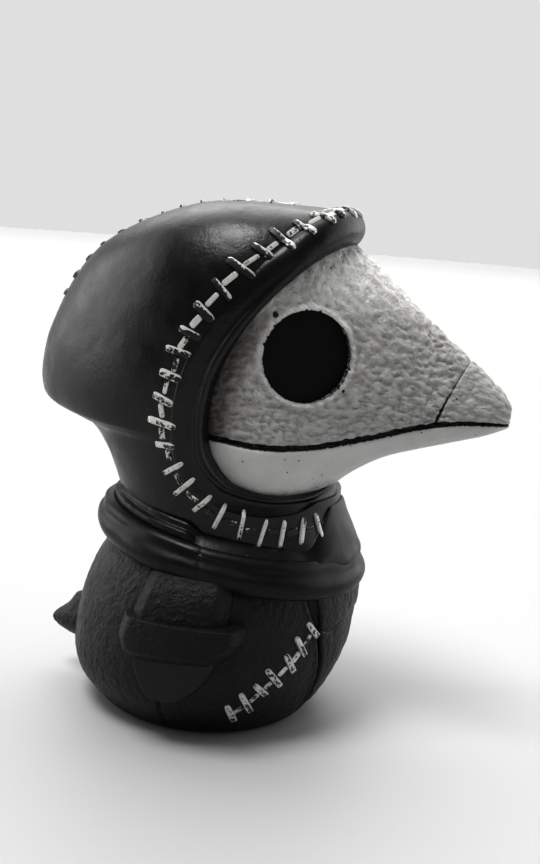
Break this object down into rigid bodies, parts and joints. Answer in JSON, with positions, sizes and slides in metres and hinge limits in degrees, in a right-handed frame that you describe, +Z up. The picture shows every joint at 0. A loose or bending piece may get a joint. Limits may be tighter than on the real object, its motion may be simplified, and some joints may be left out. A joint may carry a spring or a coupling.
{
  "type": "plague doctor figurine",
  "caption": "Small standing resin figurine of a round robed bird in a drooping stitched hood and a beaked plague doctor mask with round dark eyes.",
  "frame": {"origin": "middle of the flat base the figurine stands on", "axes": "+Z up, -Y the way the beak points, +X the figurine's left"},
  "size_m": [0.0562, 0.0856, 0.0917],
  "materials": {
    "black_gloss_paint": "satin black paint on cast resin",
    "black_robe_paint": "dull blue-black paint with a fine wrinkled grain, on cast resin",
    "mask_paint": "off-white paint, crumpled like leather, with a brown-grey wash",
    "jaw_paint": "smooth off-white paint with pinholes",
    "tip_paint": "greyer off-white paint",
    "lens_paint": "flat black paint, a little chipped at its edge",
    "silver_paint": "hand-brushed silver paint",
    "dowel_wood": "plain, hidden"
  },
  "bodies": {
    "root": {"hood": "black_gloss_paint", "hood_rim": "black_gloss_paint", "capelet": "black_gloss_paint", "capelet_hem": "black_gloss_paint", "neck_band": "black_gloss_paint", "robe_body": "black_robe_paint", "robe_chest_panel": "black_robe_paint", "robe_belly_panel": "black_robe_paint", "sleeve_right": "black_robe_paint", "sleeve_left": "black_robe_paint", "cuff_right": "black_robe_paint", "cuff_left": "black_robe_paint", "tail": "black_robe_paint", "glove_right": "black_robe_paint", "glove_left": "black_robe_paint", "beak_upper": "mask_paint", "beak_lower": "jaw_paint", "beak_tip": "tip_paint", "eye_right": "lens_paint", "eye_left": "lens_paint", "rim_stitching": "silver_paint", "crest_stitching": "silver_paint", "tear_stitching": "silver_paint", "neck_dowel": "dowel_wood"}
  },
  "joints": []
}
